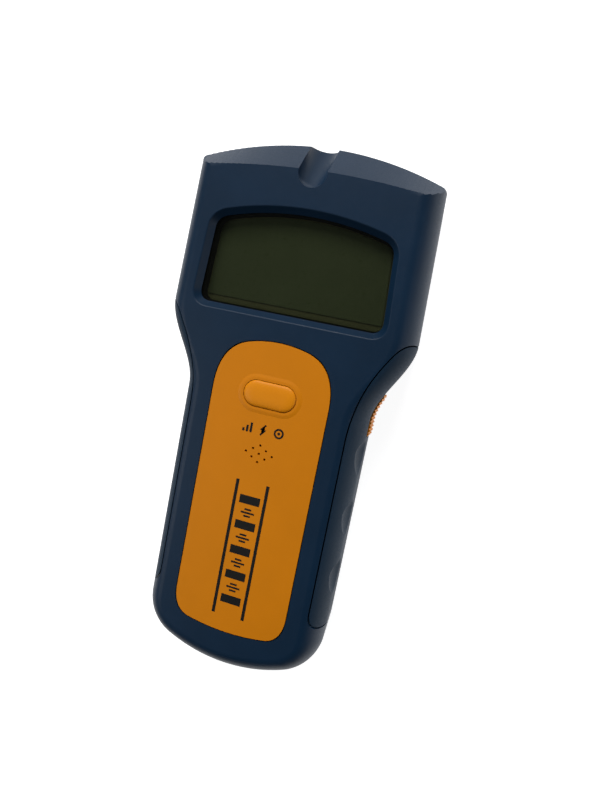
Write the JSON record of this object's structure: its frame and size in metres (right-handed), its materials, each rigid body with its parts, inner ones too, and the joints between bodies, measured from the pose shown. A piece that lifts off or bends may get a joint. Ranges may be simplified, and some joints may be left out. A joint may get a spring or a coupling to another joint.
{
  "type": "stud finder",
  "caption": "Handheld wall scanner with an arched display, a front key, a ribbed side key, finger-dipped grips, a marking notch and a hinged battery door over a block battery.",
  "frame": {"origin": "centre of the underside of the bounding box, on the flat back face's plane, with the tool lying on its back", "axes": "+X to the right seen from the front, +Y from the tail to the head with the marking notch, +Z out of the display"},
  "size_m": [0.078, 0.1639, 0.0319],
  "materials": {
    "navy_shell": "satin moulded plastic with a fine spark texture",
    "grip_rubber": "matt soft-touch rubber, slightly greyer than the shells",
    "amber_panel": "satin amber moulded plastic with printed black marks",
    "amber_button": "satin amber moulded plastic",
    "clear_lens": "clear flat acrylic window",
    "lcd_glass": "blank olive-grey liquid crystal panel",
    "black_plastic": "satin black plastic",
    "red_sleeve": "red insulating sleeve",
    "foam": "dark compressible foam and conductive rubber",
    "circuit_board": "green solder-masked fibreglass board",
    "copper": "bare copper",
    "white_plastic": "white nylon",
    "steel": "zinc-plated steel",
    "capacitor_sleeve": "dark shrink sleeve",
    "battery_case": "printed metal jacket of a block battery"
  },
  "bodies": {
    "housing": {"front_shell": "navy_shell", "rear_shell": "navy_shell", "left_grip": "grip_rubber", "right_grip": "grip_rubber", "fascia_panel": "amber_panel", "display_lens": "clear_lens", "lcd_panel": "lcd_glass", "lcd_frame": "black_plastic", "select_switch_body": "black_plastic", "side_switch_body": "black_plastic", "buzzer": "black_plastic", "controller_chip": "black_plastic", "detector_chip": "black_plastic", "voltage_regulator": "black_plastic", "board_link": "black_plastic", "battery_snap": "black_plastic", "lead_black": "black_plastic", "lead_red": "red_sleeve", "lcd_contact_strip": "foam", "main_board": "circuit_board", "sensor_board": "circuit_board", "sensor_plate_left": "copper", "sensor_plate_middle": "copper", "sensor_plate_right": "copper", "coil_winding": "copper", "coil_spool": "white_plastic", "battery_terminal_positive": "steel", "battery_terminal_negative": "steel", "clock_crystal": "steel", "case_screw_1": "steel", "case_screw_2": "steel", "case_screw_3": "steel", "case_screw_4": "steel", "board_screw_1": "steel", "board_screw_2": "steel", "board_screw_3": "steel", "board_screw_4": "steel", "sensor_screw_1": "steel", "sensor_screw_2": "steel", "capacitor_1": "capacitor_sleeve", "capacitor_2": "capacitor_sleeve", "battery": "battery_case"},
    "battery_door": {"battery_door": "navy_shell", "battery_pad": "foam"},
    "select_button": {"select_button": "amber_button", "select_switch_plunger": "amber_button"},
    "side_button": {"side_button": "amber_button", "side_switch_plunger": "amber_button"}
  },
  "joints": [
    {"name": "battery_door_hinge", "type": "hinge", "parent": "housing", "child": "battery_door", "pos_m": [0, -0.0731, 0.00035], "axis": [-1, 0, 0], "range_deg": [0, 60]},
    {"name": "select_press", "type": "slide", "parent": "housing", "child": "select_button", "axis": [0, 0, -1], "range_m": [0, 0.0006], "stiffness_N_per_m": 1500, "springref_m": -0.0003},
    {"name": "side_press", "type": "slide", "parent": "housing", "child": "side_button", "axis": [-1, 0, 0], "range_m": [0, 0.0007], "stiffness_N_per_m": 1500, "springref_m": -0.0003}
  ]
}
